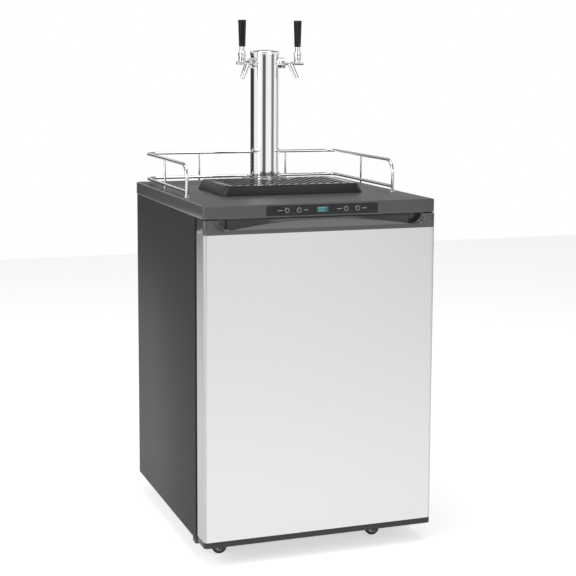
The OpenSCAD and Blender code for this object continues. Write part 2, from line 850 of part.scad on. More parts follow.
module tap_handle(side) {
    foot_r = 8.75;
    head_r = 10.9;
    thread = 19.6;
    color("#111111") at_tap(side) translate([lever_reach, 0, handle_foot]) difference() {
        rotate_extrude() polygon([
            [0, 0], [foot_r - 1, 0], [foot_r, 1], [head_r, handle_l - 2],
            [head_r - 0.6, handle_l - 0.6], [head_r - 2, handle_l], [0, handle_l]
        ]);
        rod_z([0, 0, -e], 3.5, thread + e);
    }
}

module tap_handle_left() { tap_handle(-1); }
module tap_handle_right() { tap_handle(1); }

// ---- drip tray -----------------------------------------------------------------------------

// A block with sloping sides: half widths and lean at foot and top, grown by g
module tray_form(g, z0, z1) {
    foot = tray_w / 2 + g;
    head = tray_top_w / 2 + g;
    intersection() {
        translate([0, 400, 0]) rotate([90, 0, 0]) linear_extrude(800)
            polygon([[-foot, z0], [foot, z0], [head, z1], [-head, z1]]);
        translate([-300, 0, 0]) rotate([90, 0, 90]) linear_extrude(600)
            polygon([[tray_front - g, z0], [tray_back + g, z0],
                     [tray_back - tray_lean + g, z1], [tray_front + tray_lean - g, z1]]);
    }
}

grille_x = tray_top_w / 2 - 3.2;
grille_front = tray_front + tray_lean + 3.2;
grille_back = tray_back - tray_lean - 3.2;
grille_z = top_z + tray_h - grille_t;
tray_gap = 0.3;                           // air under the loose tray and under its grille

module drip_tray() {
    color("#1f1f20") translate([0, 0, tray_gap]) difference() {
        tray_form(0, top_z, top_z + tray_h);
        difference() {
            intersection() {
                tray_form(-tray_wall - 1.6, top_z, top_z + tray_h);
                block([-300, -400, top_z + tray_wall], [300, 400, top_z + tray_h - grille_t - 2]);
            }
            rod_z([0, tower_y, top_z], notch_r + tray_wall, tray_h);
        }
        difference() {
            block([-grille_x + 4, grille_front + 4, top_z + tray_h - grille_t - 3],
                  [grille_x - 4, grille_back - 4, top_z + tray_h + e]);
            rod_z([0, tower_y, top_z], notch_r + tray_wall + 1, tray_h);
        }
        difference() {
            block([-grille_x - 0.4, grille_front - 0.4, grille_z],
                  [grille_x + 0.4, grille_back + 0.4, top_z + tray_h + e]);
            rod_z([0, tower_y, top_z], notch_r + tray_wall - 0.6, tray_h + 5);
        }
        rod_z([0, tower_y, top_z - e], notch_r, tray_h + 2);
    }
}

// The grille's lattice: diamonds in staggered rows
hole_x = 9;
hole_y = 12.3;
pitch_x = 22;
pitch_y = 30;
grille_mid = (grille_front + grille_back) / 2;

module lattice_hole(x, y) {
    clear = norm([x, y - tower_y]) > notch_r + tray_wall + hole_y + 3;
    inside = abs(x) < grille_x - hole_x - 4
        && abs(y - grille_mid) < (grille_back - grille_front) / 2 - hole_y - 3;
    if (clear && inside) translate([x, y]) polygon([[hole_x, 0], [0, hole_y], [-hole_x, 0], [0, -hole_y]]);
}

module drip_grille() {
    color("#2e2e30") translate([0, 0, grille_z + 2 * tray_gap])
        linear_extrude(grille_t - tray_gap) difference() {
        translate([-grille_x, grille_front]) square([2 * grille_x, grille_back - grille_front]);
        translate([0, tower_y]) circle(r = notch_r + tray_wall);
        for (i = [-7 : 7], j = [-3 : 3]) lattice_hole(i * pitch_x, grille_mid + j * pitch_y);
        for (i = [-8 : 7], j = [-4 : 3])
            lattice_hole((i + 0.5) * pitch_x, grille_mid + (j + 0.5) * pitch_y);
    }
}

// ---- casters -------------------------------------------------------------------------------

module at_caster(side, row) {
    translate([side * caster_half, caster_ys[row], 0]) children();
}

module caster_fork(side, row) {
    crown = floor_gap - 0.3;
    inner = wheel_w / 2 + 1;
    leg = 2.4;
    color("#2c2c2e") at_caster(side, row) {
        rod_z([0, 0, crown - e], stem_r, foot_stem_h + e);
        rod_z([0, 0, crown - 5], 15, 5);
        block([-trail + 6, -inner - leg, crown - 7], [11, inner + leg, crown - 4.5]);
        for (y = [-inner - leg, inner]) translate([0, y + leg, 0]) rotate([90, 0, 0]) linear_extrude(leg) {
            polygon([[11, crown - 5], [11, crown - 9], [-trail + 7, wheel_r - 6.5],
                     [-trail - 3, wheel_r - 6.5],
                     [-trail - 7, wheel_r + 3], [-trail + 2, crown - 5]]);
            translate([-trail, wheel_r]) circle(r = 7.2);
        }
        rod_y([-trail, -inner - leg - 1.6, wheel_r], axle_r, 2 * (inner + leg + 1.6));
    }
}

module caster_fork_front_left() { caster_fork(-1, 0); }
module caster_fork_front_right() { caster_fork(1, 0); }
module caster_fork_rear_left() { caster_fork(-1, 1); }
module caster_fork_rear_right() { caster_fork(1, 1); }

module caster_wheel(side, row) {
    half = wheel_w / 2;
    color("#19191a") at_caster(side, row) translate([-trail, 0, wheel_r]) rotate([90, 0, 0])
        rotate_extrude() polygon([
            [axle_r + 0.05, -half], [9, -half], [10, -half + 1.5], [14.5, -half + 1.5], [15.5, -half + 0.5],
            [wheel_r - 1.5, -half + 0.5], [wheel_r, -half + 2.5], [wheel_r, half - 2.5],
            [wheel_r - 1.5, half - 0.5], [15.5, half - 0.5], [14.5, half - 1.5], [10, half - 1.5],
            [9, half], [axle_r + 0.05, half]
        ]);
}

module caster_wheel_front_left() { caster_wheel(-1, 0); }
module caster_wheel_front_right() { caster_wheel(1, 0); }
module caster_wheel_rear_left() { caster_wheel(-1, 1); }
module caster_wheel_rear_right() { caster_wheel(1, 1); }

// ---- nodes ---------------------------------------------------------------------------------

cabinet_shell();
cabinet_back();
base_pan();
cabinet_liner();
cabinet_foam();
worktop();
control_panel();
display_window();
control_board();
evaporator_plate();
keg_floor_plate();
compressor();
condenser_coil();
evaporation_pan();
machine_cover();
power_inlet();
gas_grommet();
fan_housing();
fan_rotor();
upper_hinge();
lower_hinge();
rail_upper();
rail_lower();
rail_posts();
tower_column();
tower_cap();
tower_base();
tower_screws();
tower_insulation();
faucet_shanks();
shank_locknuts();
coupling_nuts();
faucet_left();
faucet_right();
valve_shaft_left();
valve_shaft_right();
tap_lever_left();
tap_lever_right();
tap_handle_left();
tap_handle_right();
drip_tray();
drip_grille();
door_skin();
door_top_trim();
door_bottom_trim();
door_liner();
door_foam();
door_gasket();
button_power();
button_light();
button_colder();
button_warmer();
caster_fork_front_left();
caster_fork_front_right();
caster_fork_rear_left();
caster_fork_rear_right();
caster_wheel_front_left();
caster_wheel_front_right();
caster_wheel_rear_left();
caster_wheel_rear_right();
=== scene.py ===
"""A two-tap kegerator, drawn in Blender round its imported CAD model. Metres, +Z up, door towards -Y."""

import math

import bmesh
import bpy
from mathutils import Matrix, Vector


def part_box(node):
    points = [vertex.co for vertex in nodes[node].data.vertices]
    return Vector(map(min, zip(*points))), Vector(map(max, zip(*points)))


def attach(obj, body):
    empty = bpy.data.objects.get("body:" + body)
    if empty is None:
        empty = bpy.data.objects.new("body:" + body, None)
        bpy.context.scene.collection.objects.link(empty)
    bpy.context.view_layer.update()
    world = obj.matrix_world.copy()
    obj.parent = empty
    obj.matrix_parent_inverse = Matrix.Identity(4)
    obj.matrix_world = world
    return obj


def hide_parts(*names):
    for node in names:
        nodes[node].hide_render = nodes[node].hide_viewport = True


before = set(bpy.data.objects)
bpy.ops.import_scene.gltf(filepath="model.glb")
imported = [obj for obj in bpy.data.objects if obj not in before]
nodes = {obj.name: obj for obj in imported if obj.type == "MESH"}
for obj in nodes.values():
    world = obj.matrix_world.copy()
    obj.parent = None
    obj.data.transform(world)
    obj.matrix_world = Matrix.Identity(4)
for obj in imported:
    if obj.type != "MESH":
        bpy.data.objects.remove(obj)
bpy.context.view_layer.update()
MM = 0.001


# ---- places, read from the frame -----------------------------------------------------------

def span(node):
    """(low corner, high corner) of a CAD node."""
    low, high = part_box(node)
    return Vector(low), Vector(high)


TOP_LOW, TOP_HIGH = span("worktop")
DOOR_LOW, DOOR_HIGH = span("door_skin")
TRIM_LOW, TRIM_HIGH = span("door_top_trim")
FOOT_LOW, FOOT_HIGH = span("door_bottom_trim")
COLUMN_LOW, COLUMN_HIGH = span("tower_column")
TOWER_Y = (COLUMN_LOW.y + COLUMN_HIGH.y) / 2
COLUMN_R = (COLUMN_HIGH.x - COLUMN_LOW.x) / 2
TOP_Z = TOP_HIGH.z
CORNER_R = 11 * MM


# ---- materials -----------------------------------------------------------------------------

class Shader:
    """A Principled material and short ways to add nodes to it."""

    def __init__(self, name, color, rough, metal=0.0, shine=0.5):
        self.mat = bpy.data.materials.new(name)
        self.mat.use_nodes = True
        self.tree = self.mat.node_tree
        self.bsdf = self.tree.nodes["Principled BSDF"]
        self.bsdf.inputs["Base Color"].default_value = (*color, 1)
        self.bsdf.inputs["Roughness"].default_value = rough
        self.bsdf.inputs["Metallic"].default_value = metal
        self.bsdf.inputs["Specular IOR Level"].default_value = shine

    def noise(self, scale, stretch=(1, 1, 1), detail=3):
        """A noise texture in object space, in features per metre."""
        coords = self.tree.nodes.new("ShaderNodeTexCoord")
        mapping = self.tree.nodes.new("ShaderNodeMapping")
        mapping.inputs["Scale"].default_value = stretch
        noise = self.tree.nodes.new("ShaderNodeTexNoise")
        noise.inputs["Scale"].default_value = scale
        noise.inputs["Detail"].default_value = detail
        self.tree.links.new(coords.outputs["Object"], mapping.inputs["Vector"])
        self.tree.links.new(mapping.outputs["Vector"], noise.inputs["Vector"])
        return noise.outputs["Fac"]

    def ramp(self, source, low, high):
        """A noise texture's usual spread, stretched to run from low to high."""
        noise_low, noise_high = 0.3, 0.7
        node = self.tree.nodes.new("ShaderNodeMapRange")
        node.inputs["From Min"].default_value = noise_low
        node.inputs["From Max"].default_value = noise_high
        node.inputs["To Min"].default_value = low
        node.inputs["To Max"].default_value = high
        self.tree.links.new(source, node.inputs["Value"])
        return node.outputs["Result"]

    def bump(self, source, height_mm, strength=1.0):
        """Raises the surface by the source, in millimetres."""
        node = self.tree.nodes.new("ShaderNodeBump")
        node.inputs["Strength"].default_value = strength
        node.inputs["Distance"].default_value = height_mm * MM
        self.tree.links.new(source, node.inputs["Height"])
        self.tree.links.new(node.outputs["Normal"], self.bsdf.inputs["Normal"])
        return self

    def vary_rough(self, source, low, high):
        """Lets the roughness run from low to high."""
        self.tree.links.new(self.ramp(source, low, high), self.bsdf.inputs["Roughness"])
        return self


def grained(name, color, rough, scale=900, height_mm=0.05, shine=0.5):
    """Plastic or paint with a fine grain."""
    shader = Shader(name, color, rough, shine=shine)
    return shader.bump(shader.noise(scale), height_mm, 0.5).mat


def plain(name, color, rough, metal=0.0, shine=0.5):
    """A smooth surface."""
    return Shader(name, color, rough, metal, shine).mat


def brushed(name, color, rough, stretch):
    """Metal brushed along the axis whose stretch is smallest."""
    shader = Shader(name, color, rough, 1.0)
    streaks = shader.noise(1, stretch, 4)
    shader.bump(streaks, 0.02, 0.35)
    return shader.vary_rough(streaks, rough - 0.05, rough + 0.06).mat


CABINET_PAINT = grained("Cabinet paint", (0.034, 0.034, 0.035), 0.50, 700, 0.05, shine=0.12)
WORKTOP = grained("Worktop plastic", (0.080, 0.080, 0.083), 0.18, 1200, 0.004, shine=0.3)
WORKTOP_TOP = grained("Textured worktop", (0.075, 0.075, 0.077), 0.42, 900, 0.05, shine=0.2)
TRIM = grained("Handle trim plastic", (0.070, 0.070, 0.073), 0.13, 1200, 0.003)
FOOT_TRIM = grained("Foot trim plastic", (0.032, 0.032, 0.033), 0.38, 1200, 0.02, shine=0.3)
STEEL = brushed("Brushed steel", (0.665, 0.665, 0.66), 0.36, (1500, 1500, 8))
# Painted shade: a darker copy of the door steel, put on the door's sides
SIDE_SHADE_STEEL = brushed("Brushed steel darkened on the door's sides as painted shade", (0.47, 0.47, 0.465), 0.36, (1500, 1500, 8))
PLATE_STEEL = brushed("Keg plate steel", (0.55, 0.55, 0.56), 0.32, (1500, 8, 1500))
CHROME = plain("Chrome", (0.93, 0.93, 0.94), 0.05, 1.0)
# Painted reflection: the foot's chrome is darkened to stand in for the dark surroundings it reflects
BASE_CHROME_PAINTED_DARK = plain("Chrome on the base, darkened as painted reflection", (0.30, 0.30, 0.31), 0.20, 1.0)
FITTING_CHROME = plain("Chrome on fittings", (0.74, 0.74, 0.75), 0.10, 1.0)
DULL_METAL = plain("Zinc-plated steel", (0.42, 0.42, 0.43), 0.35, 1.0)
ALUMINIUM = plain("Roll-bond aluminium", (0.70, 0.71, 0.73), 0.42, 1.0)
BRASS = plain("Brass", (0.72, 0.52, 0.24), 0.25, 1.0)
GLOSS_BLACK = plain("Gloss black", (0.003, 0.003, 0.003), 0.12, shine=0.35)
PANEL = grained("Control panel", (0.012, 0.012, 0.013), 0.32, 1500, 0.01, shine=0.3)
BUTTON = plain("Button cap", (0.016, 0.016, 0.017), 0.28)
RING = plain("Button ring", (0.20, 0.205, 0.22), 0.35, 1.0)
MARK = plain("Pale mark", (0.32, 0.33, 0.34), 0.5)
TRAY = grained("Tray plastic", (0.017, 0.017, 0.018), 0.34, 1500, 0.02, shine=0.22)
GRILLE = plain("Grille plastic", (0.03, 0.03, 0.031), 0.14, shine=1.0)
# Painted shade: near-black for the grille's walls, where the lattice is in shadow
GRILLE_WALL_SHADE = plain("Grille walls painted black as shade", (0.004, 0.004, 0.004), 0.6, shine=0.05)
LINER = plain("White liner", (0.82, 0.83, 0.82), 0.30)
FOAM = plain("Foam", (0.80, 0.70, 0.42), 0.9)
DARK_FOAM = plain("Black foam", (0.02, 0.02, 0.02), 0.9)
RUBBER = plain("Rubber", (0.002, 0.002, 0.002), 0.8, shine=0.02)
TYRE = plain("Tyre rubber", (0.008, 0.008, 0.008), 0.5, shine=0.2)
HUB = plain("Hub plastic", (0.60, 0.60, 0.61), 0.35)
HUB_DARK = plain("Hub web", (0.11, 0.11, 0.115), 0.4)
DARK_PAINT = plain("Black paint", (0.016, 0.016, 0.017), 0.4)
PAN_PAINT = plain("Pan paint", (0.045, 0.045, 0.046), 0.45)
BACK_PAINT = grained("Back panel paint", (0.12, 0.12, 0.12), 0.45, 600, 0.05)
BLACK_PLASTIC = plain("Black plastic", (0.022, 0.022, 0.023), 0.5)
BOARD = plain("Circuit board", (0.02, 0.13, 0.06), 0.4)
DISPLAY = plain("Display glass", (0.02, 0.10, 0.115), 0.10)
LIT = plain("Lit segment", (0.13, 0.42, 0.46), 0.3)


# ---- mesh helpers --------------------------------------------------------------------------

def bake(obj):
    """Turns an object's modifiers into its mesh."""
    bpy.context.view_layer.update()
    done = bpy.data.meshes.new_from_object(obj.evaluated_get(bpy.context.evaluated_depsgraph_get()))
    obj.modifiers.clear()
    obj.data = done


def add_object(name, bm, *materials, smooth=35):
    """An object from a bmesh, shaded smooth up to an angle in degrees."""
    bmesh.ops.recalc_face_normals(bm, faces=bm.faces)
    mesh = bpy.data.meshes.new(name)
    bm.to_mesh(mesh)
    bm.free()
    obj = bpy.data.objects.new(name, mesh)
    bpy.context.scene.collection.objects.link(obj)
    for material in materials:
        mesh.materials.append(material)
    shade(obj, smooth)
    return obj


def shade(obj, angle):
    """Smooth shading, with sharp edges where faces meet at more than the angle in degrees."""
    for face in obj.data.polygons:
        face.use_smooth = True
    obj.data.set_sharp_from_angle(angle=math.radians(angle))


def bevel(obj, width_mm, segments=3, angle=40):
    """Rounds an object's edges and bakes the result."""
    modifier = obj.modifiers.new("round", "BEVEL")
    modifier.width = width_mm * MM
    modifier.segments = segments
    modifier.limit_method = "ANGLE"
    modifier.angle_limit = math.radians(angle)
    modifier.use_clamp_overlap = True
    bake(obj)
    shade(obj, 50)


def carve(obj, *cutters):
    """Cuts other objects out of an object, and removes them."""
    for cutter in cutters:
        modifier = obj.modifiers.new("cut", "BOOLEAN")
        modifier.operation = "DIFFERENCE"
        modifier.solver = "EXACT"
        modifier.object = cutter
        bake(obj)
        bpy.data.objects.remove(cutter)


def join(name, first, *others):
    """One object from several."""
    bpy.ops.object.select_all(action="DESELECT")
    for obj in (first, *others):
        obj.select_set(True)
    bpy.context.view_layer.objects.active = first
    bpy.ops.object.join()
    first.name = name
    return first


def place(obj, matrix):
    """Moves an object's mesh by a matrix, so that the object stays at the origin."""
    obj.data.transform(matrix)
    obj.data.update()
    return obj


def cuboid(name, low, high, material=None):
    """A block between two corners."""
    bm = bmesh.new()
    bmesh.ops.create_cube(bm, size=1)
    low, high = Vector(low), Vector(high)
    size = high - low
    for vert in bm.verts:
        vert.co = Vector(low[i] + (vert.co[i] + 0.5) * size[i] for i in range(3))
    return add_object(name, bm, *([material] if material else []))


def prism(name, outline, low, high, material=None, axis="Z"):
    """An outline, given as points, stretched from low to high along Z or Y."""
    bm = bmesh.new()
    rings = [[bm.verts.new((a, c, b) if axis == "Y" else (a, b, c)) for a, b in outline] for c in (low, high)]
    count = len(outline)
    bm.faces.new(rings[0])
    bm.faces.new(rings[1])
    for i in range(count):
        j = (i + 1) % count
        bm.faces.new((rings[0][i], rings[0][j], rings[1][j], rings[1][i]))
    return add_object(name, bm, *([material] if material else []))


def arc(cx, cy, r, start, end, steps=8):
    """Points on an arc, with angles in degrees."""
    turns = [math.radians(start + (end - start) * i / steps) for i in range(steps + 1)]
    return [(cx + r * math.cos(a), cy + r * math.sin(a)) for a in turns]


def rounded(x0, y0, x1, y1, front_r, back_r=0.0, steps=8):
    """A rectangle's outline with round corners at the front (y0) and at the back (y1)."""
    points = arc(x0 + front_r, y0 + front_r, front_r, 180, 270, steps)
    points += arc(x1 - front_r, y0 + front_r, front_r, 270, 360, steps)
    if back_r:
        points += arc(x1 - back_r, y1 - back_r, back_r, 0, 90, steps)
        points += arc(x0 + back_r, y1 - back_r, back_r, 90, 180, steps)
    else:
        points += [(x1, y1), (x0, y1)]
    return points


def lathe(name, profile, *materials, steps=64, matrix=None, bands=None):
    """A profile of (radius, height) points turned round Z. bands gives each stretch its material."""
    bm = bmesh.new()
    turns = [2 * math.pi * i / steps for i in range(steps)]
    rings = []
    for r, z in profile:
        if r == 0:
            rings.append([bm.verts.new((0, 0, z))])
        else:
            rings.append([bm.verts.new((r * math.cos(a), r * math.sin(a), z)) for a in turns])
    pairs = list(zip(rings, rings[1:]))
    for k, (a, b) in enumerate(pairs):
        for i in range(steps):
            j = (i + 1) % steps
            corners = [a[i % len(a)], a[j % len(a)], b[j % len(b)], b[i % len(b)]]
            unique = list(dict.fromkeys(corners))
            if len(unique) > 2:
                face = bm.faces.new(unique)
                face.material_index = bands[k] if bands else 0
    obj = add_object(name, bm, *materials)
    return place(obj, matrix) if matrix else obj


def tube(name, path, radius, material, steps=20):
    """A round tube along a path of points, closed at both ends."""
    bm = bmesh.new()
    points = [Vector(p) for p in path]
    turns = [2 * math.pi * k / steps for k in range(steps)]
    rings = []
    side = None
    for i, point in enumerate(points):
        ahead = (points[min(i + 1, len(points) - 1)] - points[max(i - 1, 0)]).normalized()
        if side is None:
            side = ahead.orthogonal().normalized()
        side = (side - ahead * side.dot(ahead)).normalized()
        other = ahead.cross(side)
        rings.append([bm.verts.new(point + radius * (side * math.cos(a) + other * math.sin(a)))
                      for a in turns])
    for a, b in zip(rings, rings[1:]):
        for k in range(steps):
            j = (k + 1) % steps
            bm.faces.new((a[k], a[j], b[j], b[k]))
    bm.faces.new(rings[0])
    bm.faces.new(rings[-1])
    return add_object(name, bm, material, smooth=60)


def repaint(obj, material, chosen):
    """Gives an object's chosen faces another material."""
    obj.data.materials.append(material)
    index = len(obj.data.materials) - 1
    for face in obj.data.polygons:
        if chosen(face):
            face.material_index = index


def fit(obj, body, slot, *replaced):
    """Ties a piece to its body, in place of CAD nodes. The slot is not used."""
    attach(obj, body)
    if replaced:
        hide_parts(*replaced)


def dress(node, material, width_mm):
    """Gives a CAD node a material and, if the width is not zero, rounded edges."""
    obj = nodes[node]
    obj.data.materials.clear()
    obj.data.materials.append(material)
    weld = obj.modifiers.new("weld", "WELD")
    weld.merge_threshold = 0.02 * MM
    if width_mm:
        modifier = obj.modifiers.new("round", "BEVEL")
        modifier.width = width_mm * MM
        modifier.segments = 2
        modifier.limit_method = "ANGLE"
        modifier.angle_limit = math.radians(35)
        modifier.use_clamp_overlap = True
    for face in obj.data.polygons:
        face.use_smooth = True
    split = obj.modifiers.new("sharp", "EDGE_SPLIT")
    split.split_angle = math.radians(38)


# ---- worktop and control panel -------------------------------------------------------------

def make_worktop():
    """The slab, with a seat for the control panel and a recess over the cabinet. Its top face is textured."""
    edge_mm = 3.0
    top = prism("worktop_slab", rounded(TOP_LOW.x, TOP_LOW.y, TOP_HIGH.x, TOP_HIGH.y, CORNER_R, CORNER_R),
                TOP_LOW.z, TOP_Z, WORKTOP)
    bevel(top, edge_mm, 4, 60)
    low, high = span("control_panel")
    gap = 0.2 * MM
    seat = cuboid("seat", (low.x - gap, TOP_LOW.y - MM, low.z - gap), (high.x + gap, high.y, high.z + gap))
    carve(top, seat)
    skirt = 4 * MM
    recess = 10 * MM
    recess_front = span("cabinet_shell")[0].y - 2 * skirt
    outline = rounded(TOP_LOW.x + skirt, recess_front, TOP_HIGH.x - skirt, TOP_HIGH.y - skirt, 2 * MM, 2 * MM)
    carve(top, prism("under", outline, TOP_LOW.z - MM, TOP_LOW.z + recess))
    shade(top, 30)
    repaint(top, WORKTOP_TOP, lambda face: face.normal.z > 0.99 and face.center.z > TOP_Z - 0.1 * MM)
    fit(top, "cabinet", "worktop_plastic", "worktop")


def make_buttons():
    """Four round buttons, each a dark cap with a metal ring and a hidden flange behind the panel."""
    for name in ("power", "light", "colder", "warmer"):
        low, high = span("button_" + name)
        centre = Vector(((low.x + high.x) / 2, low.y, (low.z + high.z) / 2))
        r = 6.4 * MM
        flange_r = 7.5 * MM
        depth = high.y - low.y
        turn = Matrix.Translation(centre) @ Matrix.Rotation(math.radians(-90), 4, "X")
        profile = [(0, 0.5 * MM), (3.1 * MM, 0.45 * MM), (4.0 * MM, 0.2 * MM), (4.15 * MM, 0.0),
                   (r - 0.4 * MM, 0.0), (r, 0.4 * MM), (r, 3.2 * MM), (flange_r, 3.3 * MM),
                   (flange_r, 5.2 * MM), (r, 5.4 * MM), (r, depth), (0, depth)]
        cap = lathe("button_cap_" + name, profile, BUTTON, RING, matrix=turn, steps=40,
                    bands=[0, 0, 0, 1, 1, 0, 0, 0, 0, 0, 0])
        fit(cap, "button_" + name, "button_plastic", "button_" + name)


def make_marks():
    """Plain bars beside the buttons and on the display, where a real panel has words and digits."""
    low, high = span("control_panel")
    bar_away, bar_half, bar_rise = 17.5 * MM, 6 * MM, 0.7 * MM
    bars = []
    for name, side in (("power", -1), ("light", 1), ("colder", -1), ("warmer", 1)):
        cap_low, cap_high = span("button_" + name)
        x = (cap_low.x + cap_high.x) / 2 + side * bar_away
        z = (cap_low.z + cap_high.z) / 2
        bars.append(cuboid("bar", (x - bar_half, low.y - 0.15 * MM, z - bar_rise),
                           (x + bar_half, low.y + 0.1 * MM, z + bar_rise), MARK))
    fit(join("panel_marks", *bars), "cabinet", "panel_plastic")
    low, high = span("display_window")
    front = low.y - 0.1 * MM
    back = front + 0.2 * MM
    middle = (low.z + high.z) / 2
    half = (high.z - low.z) / 2 - 1.6 * MM
    thin = 0.5 * MM
    strokes = []
    for left in (-9.5 * MM, -1.0 * MM):
        right = left + 6 * MM
        for z in (middle - half, middle, middle + half):
            strokes.append(cuboid("bar", (left, front, z - thin), (right, back, z + thin), LIT))
        for x in (left, right):
            strokes.append(cuboid("bar", (x - thin, front, middle - half),
                                  (x + thin, back, middle + half), LIT))
    fit(join("display_segments", *strokes), "cabinet", "display_glass")


# ---- door ----------------------------------------------------------------------------------

def make_door_skin():
    """The steel panel and its foam as one block, cut away behind for the liner. Its sides are painted a
    darker steel as shade.
    """
    skin = prism("door_panel", rounded(DOOR_LOW.x, DOOR_LOW.y, DOOR_HIGH.x, DOOR_HIGH.y, CORNER_R, steps=14),
                 DOOR_LOW.z, DOOR_HIGH.z, STEEL)
    liner_low, liner_high = span("door_liner")
    side_gap = 0.1 * MM
    front_gap = 5 * side_gap
    room = cuboid("room", (liner_low.x - side_gap, liner_low.y - front_gap, DOOR_LOW.z - MM),
                  (liner_high.x + side_gap, DOOR_HIGH.y + MM, DOOR_HIGH.z + MM))
    carve(skin, room)
    shade(skin, 30)
    # the sides get the darker steel: painted shade
    repaint(skin, SIDE_SHADE_STEEL, lambda face: abs(face.normal.x) > 0.4)
    fit(skin, "door", "door_steel", "door_skin", "door_foam")


POCKET_END = 264 * MM       # how far from the middle the scooped ends reach
LIP_END = 228 * MM          # how far from the middle the arch ends
LIP_RISE = 20 * MM          # how high the arch is
LIP_TOP = 4 * MM            # how far the arch's peak is under the trim's top
LIP_T = 7 * MM              # how thick the lip is
SCOOP_RISE = 25 * MM        # how far the scooped ends sweep up
POCKET_DEEP = 28 * MM       # how far down the pocket goes


def lip_outline():
    """The pocket's mouth in the front view: a low arch, with its ends swept up to the trim's top."""
    radius = (LIP_END ** 2 + LIP_RISE ** 2) / (2 * LIP_RISE)
    peak = TRIM_HIGH.z - LIP_TOP
    arch_steps, scoop_steps = 40, 10
    xs = [LIP_END * (2 * i / arch_steps - 1) for i in range(arch_steps + 1)]
    arch = [(x, peak - radius + math.sqrt(radius ** 2 - x ** 2)) for x in xs]
    foot = peak - LIP_RISE
    turns = [math.radians(90 / scoop_steps * i) for i in range(1, scoop_steps + 1)]
    scoop = [(LIP_END + (POCKET_END - LIP_END) * math.sin(a), foot + SCOOP_RISE * (1 - math.cos(a)))
             for a in turns]
    return [(-x, z) for x, z in reversed(scoop)] + arch + scoop


def make_top_trim():
    """The strip over the door's panel, with a hand pocket whose ends are scooped out like a spoon."""
    front, top = TRIM_LOW.y, TRIM_HIGH.z
    trim = prism("handle_trim", rounded(TRIM_LOW.x, front, TRIM_HIGH.x, TRIM_HIGH.y, CORNER_R, steps=12),
                 TRIM_LOW.z, top, TRIM)
    mouth = prism("mouth", lip_outline(), front - MM, front + LIP_T + MM, axis="Y")
    half = 238 * MM
    pocket = cuboid("pocket", (-half, front + LIP_T, top - POCKET_DEEP), (half, front + 23 * MM, top + MM))
    carve(trim, mouth, pocket)
    end_half = 13 * MM
    bowl_size = Matrix.Diagonal((25 * MM, 11 * MM, 19.5 * MM, 1))
    for side in (-1, 1):
        x = side * 249 * MM
        end = cuboid("end", (x - end_half, front + LIP_T, top - POCKET_DEEP),
                     (x + end_half, front + 31 * MM, top + MM))
        bm = bmesh.new()
        bmesh.ops.create_uvsphere(bm, u_segments=48, v_segments=32, radius=1)
        bowl_at = Matrix.Translation((side * 248 * MM, front - 3 * MM, top - 8 * MM))
        carve(trim, end, place(add_object("bowl", bm), bowl_at @ bowl_size))
    bevel(trim, 1.3, 3, 35)
    fit(trim, "door", "trim_plastic", "door_top_trim")


def make_bottom_trim():
    """The dark strip under the door's panel."""
    trim = prism("foot_trim", rounded(FOOT_LOW.x, FOOT_LOW.y, FOOT_HIGH.x, FOOT_HIGH.y, CORNER_R, steps=12),
                 FOOT_LOW.z, FOOT_HIGH.z, FOOT_TRIM)
    bevel(trim, 1.5, 3, 60)
    fit(trim, "door", "foot_trim_plastic", "door_bottom_trim")


def make_gasket():
    """A soft frame with two grooves round its outside."""
    low, high = span("door_gasket")
    width = 14 * MM
    depth = high.y - low.y
    inset = 2.2 * MM
    section = [(0, 0), (inset, 0.22), (0, 0.36), (inset, 0.55), (0, 0.74), (0, 1.0)]
    outer = [(back, low.y + depth * t) for back, t in section]
    inner = [(width, high.y), (width, low.y)]
    bm = bmesh.new()
    rings = []
    for back, y in outer + inner:
        rings.append([bm.verts.new(p) for p in (
            (low.x + back, y, low.z + back), (high.x - back, y, low.z + back),
            (high.x - back, y, high.z - back), (low.x + back, y, high.z - back))])
    for a, b in zip(rings, rings[1:] + rings[:1]):
        for i in range(4):
            j = (i + 1) % 4
            bm.faces.new((a[i], a[j], b[j], b[i]))
    gasket = add_object("door_seal", bm, RUBBER)
    bevel(gasket, 0.7, 2, 25)
    fit(gasket, "door", "rubber_parts", "door_gasket")


# ---- guard rail ----------------------------------------------------------------------------

def bend(centre, first, second, radius, steps=10):
    """Points of a quarter bend from one direction to another, both unit vectors from its centre."""
    turns = [math.pi / 2 * i / steps for i in range(steps + 1)]
    return [centre + radius * (first * math.cos(a) + second * math.sin(a)) for a in turns]


